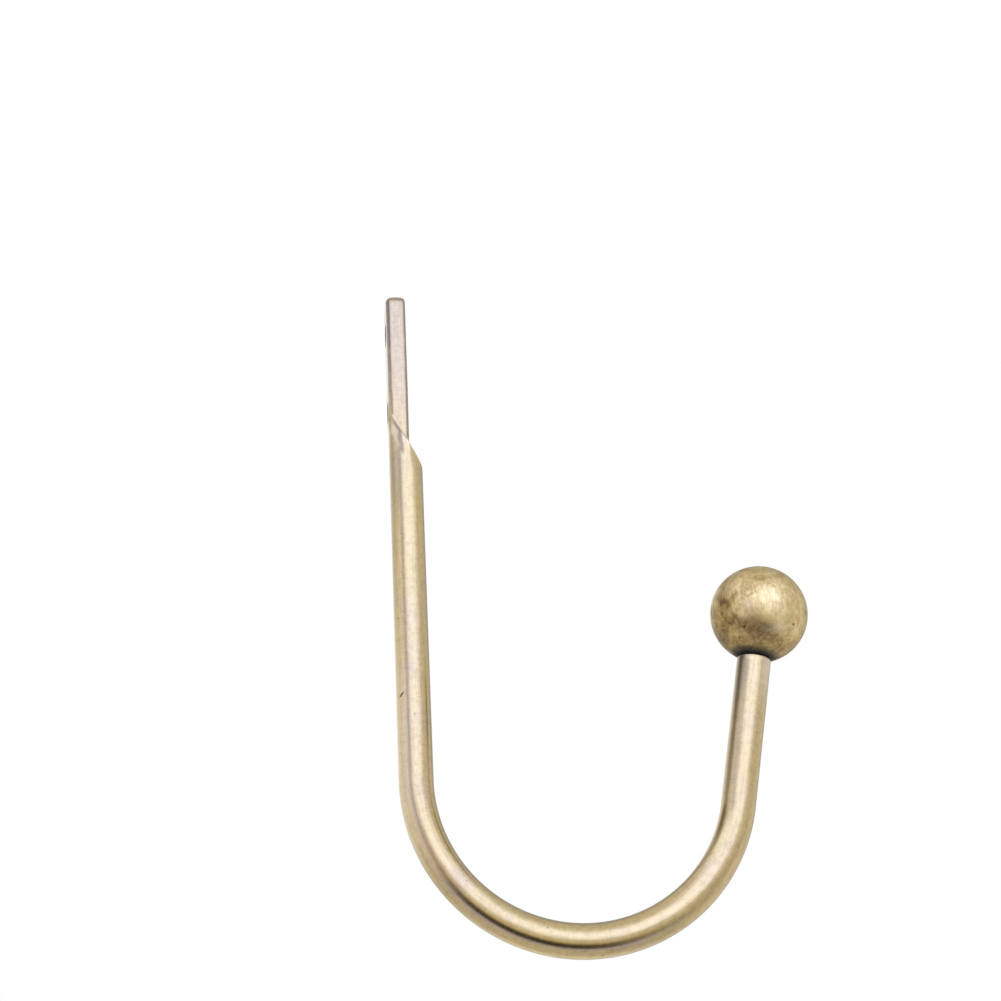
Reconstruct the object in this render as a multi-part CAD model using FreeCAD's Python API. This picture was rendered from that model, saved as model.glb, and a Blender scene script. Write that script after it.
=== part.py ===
"""Curtain holdback: a round rod bent to a J, forged to a flat screw tongue at the top, with a ball on its free end.

Frame: millimetres, +Z up, +X out from the wall, Y along the wall. The wall face of the tongue lies in the
plane X = 0, and the origin is on it, halfway between the two screw holes. The rod bends in the plane Y = 0.
"""

import FreeCAD, Part
import math
import os

# Rod
ROD_DIAMETER = 8.0
STRAIGHT_LENGTH = 77.0         # from the foot of the ramp down to the bend
BEND_RADIUS = 37.2             # of the rod's centre line
BEND_TURN = 168.4              # degrees, so that the arm leans out from the wall
ARM_LENGTH = 35.5              # straight arm between the bend and the ball
ARM_END_CHAMFER = 0.35

# Screw tongue, forged flat out of the rod, flush with the rod's wall side
TONGUE_THICKNESS = 4.8
TONGUE_WIDTH = 11.2
TONGUE_CORNER_RADIUS = 2.5     # of the end's two corners, seen from the room
TONGUE_EDGE_RADIUS = 0.6       # of the long edges and round the end
SCREW_HOLE_DIAMETER = 4.5
SCREW_SPACING = 21.5
SCREW_TO_TOP = 8.8             # from the upper hole's centre to the tongue's end
SCREW_TO_FOOT = 14.8           # from the lower hole's centre down to the foot of the ramp
RAMP_HEIGHT = 5.3              # rise of the ramp from the rod's room side to the tongue's room face

# Flare from the round rod to the tongue's outline. It ends in the plane of the ramp.
FLARE_WALL_RISE = 0.6          # height of the flare at the wall face
FLARE_ROOM_RISE = 6.5          # height of the flare at the rod's room side
NOSE_ANGLE = 60.0              # degrees each side of the room direction that stay round
SHOULDER_ANGLE = 20.0          # degrees of rod that flare into the ramp's shoulders
FLANK_ANGLE = 70.0             # degrees of rod that flare into the tongue's flanks
CORNER_ANGLE = 6.0             # degrees of rod that flare into the tongue's rounded wall edges

# Ball, and the spigot that it is screwed on (plain cylinders stand for the thread)
BALL_DIAMETER = 23.1
BALL_SEAT_WIDTH = 0.25         # flat ring round the ball's hole, which sits on the rod's end
SPIGOT_DIAMETER = 5.0
SPIGOT_LENGTH = 8.0
SPIGOT_RADIAL_CLEARANCE = 0.05
SPIGOT_END_CLEARANCE = 1.0

# Places and sizes that follow
ROD_RADIUS = ROD_DIAMETER / 2
AXIS_X = ROD_RADIUS
HALF_WIDTH = TONGUE_WIDTH / 2
FOOT_Z = -SCREW_SPACING / 2 - SCREW_TO_FOOT
TOP_Z = SCREW_SPACING / 2 + SCREW_TO_TOP
BEND_Z = FOOT_Z - STRAIGHT_LENGTH
RAMP_SLOPE = RAMP_HEIGHT / (ROD_DIAMETER - TONGUE_THICKNESS)
BALL_RADIUS = BALL_DIAMETER / 2
BALL_HOLE_RADIUS = SPIGOT_DIAMETER / 2 + SPIGOT_RADIAL_CLEARANCE
BALL_SEAT_RADIUS = BALL_HOLE_RADIUS + BALL_SEAT_WIDTH
BALL_SEAT_TO_CENTRE = math.sqrt(BALL_RADIUS ** 2 - BALL_SEAT_RADIUS ** 2)


def point(x, y, z):
    """Return a point or direction as a FreeCAD vector."""
    return FreeCAD.Vector(x, y, z)


class SlopingPlane:
    """A plane that falls evenly from the rod's wall side to its room side."""

    def __init__(self, wall_z, room_z):
        self.wall_z = wall_z
        self.fall = (wall_z - room_z) / ROD_DIAMETER

    def at(self, x, y):
        """Return the plane's point over the plan point x, y."""
        return point(x, y, self.wall_z - self.fall * x)

    def line(self, start, end):
        """Return the straight edge between two plan points."""
        return Part.LineSegment(self.at(*start), self.at(*end)).toShape()

    def arc(self, centre, radius, start_deg, end_deg):
        """Return the edge that is an arc of a circle in plan, with angles counted from the room direction."""
        x, y = centre
        curve = Part.Ellipse(self.at(x + radius, y), self.at(x, y + radius), self.at(x, y))
        return Part.ArcOfEllipse(curve, math.radians(start_deg), math.radians(end_deg)).toShape()

    def space_above(self, top_z):
        """Return the solid between the plane and a height, wider than the rod and the tongue."""
        low_x = -ROD_DIAMETER
        high_x = 2 * ROD_DIAMETER
        corners = [self.at(low_x, -TONGUE_WIDTH), self.at(high_x, -TONGUE_WIDTH)]
        corners += [point(high_x, -TONGUE_WIDTH, top_z), point(low_x, -TONGUE_WIDTH, top_z)]
        outline = Part.makePolygon(corners + corners[:1])
        return Part.Face(outline).extrude(point(0, 2 * TONGUE_WIDTH, 0))


RAMP_PLANE = SlopingPlane(FOOT_Z + RAMP_SLOPE * ROD_DIAMETER, FOOT_Z)
FLARE_PLANE = SlopingPlane(RAMP_PLANE.wall_z - FLARE_WALL_RISE, FOOT_Z - FLARE_ROOM_RISE)


def rod_outline():
    """Return the round rod's outline where the flare starts, in as many stretches as forged_outline."""
    turns = [-NOSE_ANGLE, NOSE_ANGLE]
    for stretch in (SHOULDER_ANGLE, FLANK_ANGLE, CORNER_ANGLE):
        turns.append(turns[-1] + stretch)
    turns += [360.0 - turn for turn in reversed(turns[1:])]
    centre = (AXIS_X, 0.0)
    return Part.Wire([FLARE_PLANE.arc(centre, ROD_RADIUS, a, b) for a, b in zip(turns, turns[1:])])


def forged_outline():
    """Return the outline where the flare ends: flat wall side, flat flanks, shoulders and the rod's round nose."""
    nose_x = AXIS_X + ROD_RADIUS * math.cos(math.radians(NOSE_ANGLE))
    nose_y = ROD_RADIUS * math.sin(math.radians(NOSE_ANGLE))
    edge = TONGUE_EDGE_RADIUS
    wall_y = HALF_WIDTH - edge
    plane = RAMP_PLANE
    return Part.Wire([
        plane.arc((AXIS_X, 0.0), ROD_RADIUS, -NOSE_ANGLE, NOSE_ANGLE),
        plane.line((nose_x, nose_y), (TONGUE_THICKNESS, HALF_WIDTH)),
        plane.line((TONGUE_THICKNESS, HALF_WIDTH), (edge, HALF_WIDTH)),
        plane.arc((edge, wall_y), edge, 90.0, 180.0),
        plane.line((0.0, wall_y), (0.0, -wall_y)),
        plane.arc((edge, -wall_y), edge, 180.0, 270.0),
        plane.line((edge, -HALF_WIDTH), (TONGUE_THICKNESS, -HALF_WIDTH)),
        plane.line((TONGUE_THICKNESS, -HALF_WIDTH), (nose_x, -nose_y)),
    ])


def straight_rod():
    """Return the round rod from the bend up to the start of the flare."""
    length = FLARE_PLANE.wall_z - BEND_Z + ROD_RADIUS
    bar = Part.makeCylinder(ROD_RADIUS, length, point(AXIS_X, 0, BEND_Z))
    return bar.cut(FLARE_PLANE.space_above(BEND_Z + 2 * length))


def tongue_plate():
    """Return the tongue above the plane of the ramp, with its corners and edges rounded."""
    height = TOP_Z - FOOT_Z
    plate = Part.makeBox(TONGUE_THICKNESS, TONGUE_WIDTH, height, point(0, -HALF_WIDTH, FOOT_Z))
    corners = [edge for edge in plate.Edges if is_end_corner(edge)]
    plate = plate.makeFillet(TONGUE_CORNER_RADIUS, corners)
    rims = [edge for edge in plate.Edges if is_face_rim(edge)]
    plate = plate.makeFillet(TONGUE_EDGE_RADIUS, rims)
    return plate.common(RAMP_PLANE.space_above(TOP_Z + height))


def is_end_corner(edge):
    """Tell whether a plate's edge crosses its thickness at the top end."""
    return edge.BoundBox.XLength > TONGUE_THICKNESS / 2 and edge.CenterOfMass.z > 0


def is_face_rim(edge):
    """Tell whether a plate's edge lies in its wall or room face, and not at its lower end."""
    return edge.BoundBox.XLength < TONGUE_THICKNESS / 2 and edge.BoundBox.ZMax > 0


def screw_holes():
    """Return the two cylinders that cut the screw holes through the tongue."""
    heights = (-SCREW_SPACING / 2, SCREW_SPACING / 2)
    radius = SCREW_HOLE_DIAMETER / 2
    starts = [point(-TONGUE_THICKNESS, 0, z) for z in heights]
    return [Part.makeCylinder(radius, 3 * TONGUE_THICKNESS, start, point(1, 0, 0)) for start in starts]


def arm_end():
    """Return the point on the rod's centre line where the ball sits, and the direction of the arm there."""
    turn = math.radians(BEND_TURN)
    direction = point(math.sin(turn), 0, -math.cos(turn))
    bend_end = point(AXIS_X + BEND_RADIUS * (1 - math.cos(turn)), 0, BEND_Z - BEND_RADIUS * math.sin(turn))
    return bend_end + direction * ARM_LENGTH, direction


def bend_and_arm():
    """Return the bend, the straight arm with its chamfered end, and the spigot, as a list of solids."""
    section = Part.Face(Part.Wire(Part.makeCircle(ROD_RADIUS, point(AXIS_X, 0, BEND_Z), point(0, 0, -1))))
    bend = section.revolve(point(AXIS_X + BEND_RADIUS, 0, BEND_Z), point(0, -1, 0), BEND_TURN)
    end, direction = arm_end()
    barrel_length = ARM_LENGTH - ARM_END_CHAMFER
    rim_radius = ROD_RADIUS - ARM_END_CHAMFER
    rim_start = end - direction * ARM_END_CHAMFER
    barrel = Part.makeCylinder(ROD_RADIUS, barrel_length, end - direction * ARM_LENGTH, direction)
    rim = Part.makeCone(ROD_RADIUS, rim_radius, ARM_END_CHAMFER, rim_start, direction)
    spigot = Part.makeCylinder(SPIGOT_DIAMETER / 2, SPIGOT_LENGTH, end, direction)
    return [bend, barrel, rim, spigot]


def make_hook_rod():
    """Return the whole rod in one solid: tongue, flare, straight, bend, arm and spigot."""
    flare = Part.makeLoft([rod_outline(), forged_outline()], True, True)
    rod = straight_rod().multiFuse([flare, tongue_plate()] + bend_and_arm()).removeSplitter()
    for hole in screw_holes():
        rod = rod.cut(hole)
    return rod


def make_ball_finial():
    """Return the ball, flattened to a narrow seat ring, with its blind hole for the spigot."""
    end, direction = arm_end()
    ball = Part.makeSphere(BALL_RADIUS, end + direction * BALL_SEAT_TO_CENTRE)
    below_seat = Part.makeCylinder(BALL_RADIUS, BALL_RADIUS, end - direction * BALL_RADIUS, direction)
    hole = Part.makeCylinder(BALL_HOLE_RADIUS, SPIGOT_LENGTH + SPIGOT_END_CLEARANCE, end, direction)
    return ball.cut(below_seat).cut(hole)


def main():
    """Build each piece and write it to its own file."""
    os.makedirs("parts", exist_ok=True)
    pieces = {"hook_rod": make_hook_rod(), "ball_finial": make_ball_finial()}
    for name, shape in pieces.items():
        print(name, "valid", shape.isValid(), "solids", len(shape.Solids), "volume", round(shape.Volume, 2))
        shape.Solids[0].exportStep("parts/" + name + ".step")


main()
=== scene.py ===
"""Curtain holdback, dressed: a brushed brass hook rod and a rubbed brass ball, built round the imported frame.

Lengths in the classes are millimetres in the part's own frame: +X out from the wall, +Z up, and the origin
on the wall face halfway between the two screw holes. They become metres when a mesh is made.
"""

import logging
import math
from dataclasses import dataclass
from enum import Enum
from functools import reduce
from operator import add, mul
from typing import Any, Mapping, Optional, Sequence, Union

import bmesh
import bpy
import numpy as np
from mathutils import Matrix


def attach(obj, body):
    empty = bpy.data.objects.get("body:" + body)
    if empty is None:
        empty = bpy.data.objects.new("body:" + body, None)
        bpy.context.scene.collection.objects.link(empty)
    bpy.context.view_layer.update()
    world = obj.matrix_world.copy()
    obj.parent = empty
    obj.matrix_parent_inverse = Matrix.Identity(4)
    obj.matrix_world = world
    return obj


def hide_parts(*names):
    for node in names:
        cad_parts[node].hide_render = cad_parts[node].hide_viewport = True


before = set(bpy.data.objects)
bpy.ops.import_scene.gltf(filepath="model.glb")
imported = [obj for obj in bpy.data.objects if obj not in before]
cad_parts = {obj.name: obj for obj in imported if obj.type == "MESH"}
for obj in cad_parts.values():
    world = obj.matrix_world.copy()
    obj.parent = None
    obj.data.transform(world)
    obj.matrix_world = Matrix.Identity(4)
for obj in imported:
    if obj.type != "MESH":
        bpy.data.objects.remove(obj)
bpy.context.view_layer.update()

LOG = logging.getLogger("holdback")
METRES = 0.001
PICTURE_SIDE = 1001
WELD = 1e-4
SHORTEST_LEG = 1e-6
MEAN_POINTS = 11

Array = np.ndarray
Pair = tuple[float, float]
Triple = tuple[float, float, float]
Range = Pair
Point = Triple
Colour = Triple


# Shader maths

class Maths(Enum):
    """Operations of a Math node."""

    ADD = "ADD"
    SUBTRACT = "SUBTRACT"
    MULTIPLY = "MULTIPLY"
    DIVIDE = "DIVIDE"
    POWER = "POWER"
    MAXIMUM = "MAXIMUM"


class VectorMaths(Enum):
    """Operations of a Vector Math node."""

    ADD = "ADD"
    SUBTRACT = "SUBTRACT"
    MULTIPLY = "MULTIPLY"
    DOT = "DOT_PRODUCT"
    NORMALIZE = "NORMALIZE"


class Blend(Enum):
    """Ways in which a Mix node lays one colour over another."""

    OVER = "MIX"
    MULTIPLY = "MULTIPLY"


class Shade:
    """An output socket that takes part in Python arithmetic. Each operator adds one Math node."""

    def __init__(self, nodes: "ShaderNodes", socket: bpy.types.NodeSocket) -> None:
        """Wrap a socket of a node tree."""
        self.nodes = nodes
        self.socket = socket

    def __add__(self, other: "Operand") -> "Shade":
        """Return self plus other."""
        return self.nodes.maths(Maths.ADD, self, other)

    def __radd__(self, other: "Operand") -> "Shade":
        """Return other plus self."""
        return self.nodes.maths(Maths.ADD, other, self)

    def __sub__(self, other: "Operand") -> "Shade":
        """Return self less other."""
        return self.nodes.maths(Maths.SUBTRACT, self, other)

    def __rsub__(self, other: "Operand") -> "Shade":
        """Return other less self."""
        return self.nodes.maths(Maths.SUBTRACT, other, self)

    def __mul__(self, other: "Operand") -> "Shade":
        """Return self times other."""
        return self.nodes.maths(Maths.MULTIPLY, self, other)

    def __rmul__(self, other: "Operand") -> "Shade":
        """Return other times self."""
        return self.nodes.maths(Maths.MULTIPLY, other, self)

    def output(self, name: str) -> "Shade":
        """Return another output of the same node."""
        return Shade(self.nodes, self.socket.node.outputs[name])


Operand = Union[Shade, float, int]
Value = Union[Shade, float, int, str, Sequence[float]]


class ShaderNodes:
    """Builds one node tree: any node by its type, and short names for the kinds used most."""

    def __init__(self, tree: bpy.types.NodeTree) -> None:
        """Start from an empty tree."""
        self.tree = tree
        tree.nodes.clear()

    def add(
        self,
        kind: str,
        settings: Optional[Mapping[str, Any]] = None,
        sockets: Optional[Mapping[Union[str, int], Value]] = None,
        output: Union[str, int] = 0,
    ) -> Shade:
        """Add a node, set it up, then fill or link its sockets.

        Args:
            kind: the node's Blender type.
            settings: the node's own properties; "stops" gives a colour ramp its positions and colours.
            sockets: input sockets by name or number, each with a value or a Shade to link.
            output: the output socket to hand back.

        Returns:
            The chosen output as a Shade.
        """
        node = self.tree.nodes.new(kind)
        for key, value in (settings or {}).items():
            if key == "stops":
                self._set_stops(node.color_ramp, value)
            else:
                setattr(node, key, value)
        for key, value in (sockets or {}).items():
            if isinstance(value, Shade):
                self.tree.links.new(value.socket, node.inputs[key])
            else:
                node.inputs[key].default_value = value
        return Shade(self, node.outputs[output]) if node.outputs else Shade(self, node.inputs[0])

    @staticmethod
    def _set_stops(ramp: bpy.types.ColorRamp, stops: Sequence[tuple[float, Colour]]) -> None:
        """Give a colour ramp its stops, in rising order."""
        while len(ramp.elements) < len(stops):
            ramp.elements.new(1.0)
        for element, (place, colour) in zip(ramp.elements, stops):
            element.position = place
            element.color = (*colour, 1.0)

    def maths(self, operation: Maths, first: Operand, second: Operand) -> Shade:
        """Return one operation on two numbers."""
        return self.add("ShaderNodeMath", {"operation": operation.value}, {0: first, 1: second})

    def larger(self, first: Operand, second: Operand) -> Shade:
        """Return the larger of two numbers."""
        return self.maths(Maths.MAXIMUM, first, second)

    def vector(self, operation: VectorMaths, first: Value, second: Optional[Value] = None) -> Shade:
        """Return one operation on vectors; a dot product comes back as a number."""
        sockets = {0: first} if second is None else {0: first, 1: second}
        output = "Value" if operation is VectorMaths.DOT else "Vector"
        return self.add("ShaderNodeVectorMath", {"operation": operation.value}, sockets, output)

    def dot(self, first: Value, second: Value) -> Shade:
        """Return the dot product of two vectors."""
        return self.vector(VectorMaths.DOT, first, second)

    def mix(self, amount: Operand, under: Value, over: Value, blend: Blend = Blend.OVER) -> Shade:
        """Return the colour over laid on the colour under by an amount from 0 to 1."""
        colours = [c if isinstance(c, Shade) else (*c, 1.0) for c in (under, over)]
        settings = {"data_type": "RGBA", "blend_type": blend.value}
        return self.add("ShaderNodeMix", settings, {0: amount, 6: colours[0], 7: colours[1]}, 2)

    def toned(self, colour: Shade, level: Shade) -> Shade:
        """Return a colour times a level."""
        grey = self.add("ShaderNodeCombineColor", {}, {0: level, 1: level, 2: level})
        return self.mix(1.0, colour, grey, Blend.MULTIPLY)

    def ramp(self, place: Shade, stops: Sequence[tuple[float, Colour]]) -> Shade:
        """Return the colour of a ramp at a place from 0 to 1."""
        return self.add("ShaderNodeValToRGB", {"stops": stops}, {0: place}, "Color")

    def step(self, value: Operand, low: float, high: float) -> Shade:
        """Return a smooth step: 0 up to low, 1 from high on."""
        settings = {"interpolation_type": "SMOOTHSTEP", "clamp": True}
        return self.add("ShaderNodeMapRange", settings, {"Value": value, "From Min": low, "From Max": high})


def weighted(shares: Sequence[float], shades: Sequence[Shade]) -> Shade:
    """Return the sum of some numbers, each times its own share."""
    return reduce(add, [share * shade for share, shade in zip(shares, shades)])


@dataclass(frozen=True)
class Grain:
    """A fractal noise.

    Attributes:
        scale: how often it repeats in a unit of the place, each way; unequal scales make streaks.
        detail: number of finer layers.
        rough: how strong the finer layers are.
        warp: how far the pattern is pulled about.
    """

    scale: Triple
    detail: float
    rough: float
    warp: float = 0.0

    def on(self, place: Shade, turn_deg: Triple = (0.0, 0.0, 0.0)) -> Shade:
        """Return the noise, from about 0.2 to 0.8, at a place that is scaled and then turned."""
        turn = [math.radians(angle) for angle in turn_deg]
        sockets = {"Vector": place, "Rotation": turn, "Scale": self.scale}
        stretched = place.nodes.add("ShaderNodeMapping", {"vector_type": "POINT"}, sockets)
        sockets = {"Vector": stretched, "Scale": 1.0, "Detail": self.detail}
        sockets |= {"Roughness": self.rough, "Distortion": self.warp}
        return place.nodes.add("ShaderNodeTexNoise", {}, sockets)


@dataclass(frozen=True)
class Span:
    """A stretch of a measure, with a soft end on one side or on both.

    Attributes:
        rise: range over which it fades in, if it does.
        fall: range over which it fades out, if it does.
        strength: its level between them.
    """

    rise: Optional[Range] = None
    fall: Optional[Range] = None
    strength: float = 1.0

    def on(self, value: Shade) -> Shade:
        """Return the level over a measure: a smooth step, times 1 less a smooth step, times the strength."""
        ends = [value.nodes.step(value, *self.rise)] if self.rise else []
        ends += [1 - value.nodes.step(value, *self.fall)] if self.fall else []
        share = reduce(mul, ends)
        return share if self.strength == 1.0 else self.strength * share


@dataclass(frozen=True)
class Tone:
    """A level that goes from one value to another while a measure goes through a range."""

    through: Range
    start: float
    end: float

    def on(self, value: Shade) -> Shade:
        """Return the level over a measure: the start, plus a smooth step times the end less the start."""
        return self.start + (self.end - self.start) * value.nodes.step(value, *self.through)


# Surfaces

def run(start: Any, end: Any, count: int) -> Array:
    """Return count even steps from start towards end, numbers or points, without the end itself."""
    share = np.arange(count) / count
    return np.asarray(start, float) + np.multiply.outer(share, np.subtract(end, start))


def even(count: int) -> Array:
    """Return the shares of count even steps from 0 to 1, both ends included."""
    return np.linspace(0.0, 1.0, count + 1)


def bow(centre: Sequence[float], radius: float, start_deg: float, end_deg: float, count: int) -> Array:
    """Return count even steps on an arc: centre plus radius times the cosine and sine of the angle."""
    angle = np.radians(run(start_deg, end_deg, count))
    return np.asarray(centre) + radius * np.stack([np.cos(angle), np.sin(angle)], axis=-1)


def eased(count: int) -> Array:
    """Return count shares from 0 up to nearly 1, closest together at both ends: (1 - cos(pi t)) / 2."""
    return 0.5 - 0.5 * np.cos(np.pi * np.arange(count) / count)


def climb(value: Array, start: float, length: float) -> Array:
    """Return an even rise from 0 at start to 1 a length further on; a negative length goes the other way."""
    return np.clip((value - start) / length, 0.0, 1.0)


def hump(value: Array, middle: float, width: float) -> Array:
    """Return a soft hump, exp(-u u), where u is the distance from its middle over its width."""
    return np.exp(-(((value - middle) / width) ** 2))


def rounded_run(controls: Array, steps: Sequence[int], soften: float) -> Array:
    """Return points along each column's broken line, with the corners of the line rounded.

    The point at length s is the mean of the broken line from s - soften to s + soften. The broken line itself
    is its first corner plus each leg times the share of that leg that s has passed, from 0 to 1.

    Args:
        controls: corners of the lines, corners by columns by xyz.
        steps: number of rows on each leg.
        soften: half the length over which a corner is rounded.

    Returns:
        Rows by columns by xyz, from the first corner to the last.
    """
    legs = np.diff(controls, axis=0)
    lengths = np.maximum(np.linalg.norm(legs, axis=-1), SHORTEST_LEG)
    starts = np.concatenate([np.zeros_like(lengths[:1]), np.cumsum(lengths, axis=0)])
    places = [starts[k] + np.multiply.outer(eased(count), lengths[k]) for k, count in enumerate(steps)]
    place = np.concatenate(places + [starts[-1:]])
    window = place[None] + np.linspace(-soften, soften, MEAN_POINTS)[:, None, None]
    share = np.clip((window[:, :, None] - starts[:-1]) / lengths, 0.0, 1.0)
    return (controls[0] + np.einsum("wrln,lnk->wrnk", share, legs)).mean(axis=0)


@dataclass(frozen=True)
class Patch:
    """A grid of points with the stock place and the wear marks of each.

    Attributes:
        points: rows by columns by xyz.
        stock: the same points on the straight bar before bending: towards the inside of the bend, sideways,
            and length from the tongue's end.
        marks: strength of worn rims, of painted light, and of grime with painted shade.
        closed: whether the last column joins the first.
    """

    points: Array
    stock: Array
    marks: Array
    closed: bool = False

    def faces(self, first: int) -> Array:
        """Return the grid's quads as vertex numbers that start at first."""
        rows, columns = self.points.shape[:2]
        number = first + np.arange(rows * columns).reshape(rows, columns)
        if self.closed:
            number = np.concatenate([number, number[:, :1]], axis=1)
        corners = (number[:-1, :-1], number[:-1, 1:], number[1:, 1:], number[1:, :-1])
        return np.stack(corners, axis=-1).reshape(-1, 4)


class Surface:
    """Patches that are welded into one closed mesh."""

    def __init__(self) -> None:
        """Start with no patches."""
        self.patches: list[Patch] = []

    def add(self, points: Array, stock: Array, marks: Array, closed: bool = False) -> None:
        """Add a grid of points with its stock places and marks."""
        self.patches.append(Patch(points, stock, np.broadcast_to(marks, points.shape), closed))

    def make(self, name: str) -> bpy.types.Object:
        """Weld the patches and return the mesh object, at the origin, with faces outwards.

        Args:
            name: the piece's name.

        Returns:
            The new object, linked to the scene.
        """
        sizes = [patch.points.shape[0] * patch.points.shape[1] for patch in self.patches]
        firsts = np.concatenate([[0], np.cumsum(sizes)[:-1]])
        points, stock, marks = (
            np.concatenate([getattr(patch, layer).reshape(-1, 3) for patch in self.patches])
            for layer in ("points", "stock", "marks")
        )
        quads = np.concatenate([patch.faces(int(first)) for patch, first in zip(self.patches, firsts)])
        cells = np.round(points / WELD).astype(np.int64)
        _, kept, welded = np.unique(cells, axis=0, return_index=True, return_inverse=True)
        quads = welded.reshape(-1)[quads]
        same = quads == np.roll(quads, -1, axis=1)
        pinched = same.sum(axis=1) == 1
        whole = quads[~same.any(axis=1)]
        triangles = quads[pinched][~same[pinched]].reshape(-1, 3)
        mesh = bpy.data.meshes.new(name)
        mesh.from_pydata((points[kept] * METRES).tolist(), [], whole.tolist() + triangles.tolist())
        self._store(mesh, "stock", stock[kept])
        self._store(mesh, "marks", marks[kept])
        shell = bmesh.new()
        shell.from_mesh(mesh)
        bmesh.ops.recalc_face_normals(shell, faces=shell.faces)
        shell.to_mesh(mesh)
        shell.free()
        mesh.shade_smooth()
        piece = bpy.data.objects.new(name, mesh)
        bpy.context.scene.collection.objects.link(piece)
        return piece

    @staticmethod
    def _store(mesh: bpy.types.Mesh, name: str, values: Array) -> None:
        """Store a vector on each vertex of a mesh."""
        layer = mesh.attributes.new(name, "FLOAT_VECTOR", "POINT")
        layer.data.foreach_set("vector", values.astype(np.float32).ravel())


# Finishes

@dataclass(frozen=True)
class Pit:
    """A dark nick in the rod, placed on the straight bar before bending.

    Attributes:
        turn_deg: angle round the bar from the room side.
        along: length from the tongue's end.
        width: size across the longer way.
        length: size the longer way.
        tilt_deg: turn of the longer way from round the bar towards along it.
        depth: how dark it is, from 0 to 1.
    """

    turn_deg: float
    along: float
    width: float
    length: float
    tilt_deg: float
    depth: float


@dataclass(frozen=True)
class Finish:
    """A metal finish: colour, roughness and relief that follow the piece, under a thin clear lacquer."""

    name: str
    relief: float
    coat: float
    coat_roughness: float

    def surface(self, nodes: ShaderNodes) -> tuple[Shade, Shade, Shade, Shade]:
        """Return the colour, roughness, height and grime of the surface; the grime also holds painted shade.
        """
        raise NotImplementedError

    def material(self) -> bpy.types.Material:
        """Return the finish as a new material."""
        material = bpy.data.materials.new(self.name)
        material.use_nodes = True
        nodes = ShaderNodes(material.node_tree)
        colour, roughness, height, grime = self.surface(nodes)
        bump = {"Strength": 1.0, "Distance": self.relief, "Height": height}
        sockets = {
            "Base Color": colour,
            "Metallic": 1 - grime,
            "Roughness": roughness,
            "Normal": nodes.add("ShaderNodeBump", {}, bump),
            "Coat Weight": self.coat * (1 - grime),
            "Coat Roughness": self.coat_roughness,
        }
        metal = nodes.add("ShaderNodeBsdfPrincipled", {}, sockets)
        nodes.add("ShaderNodeOutputMaterial", {}, {"Surface": metal})
        return material


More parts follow.
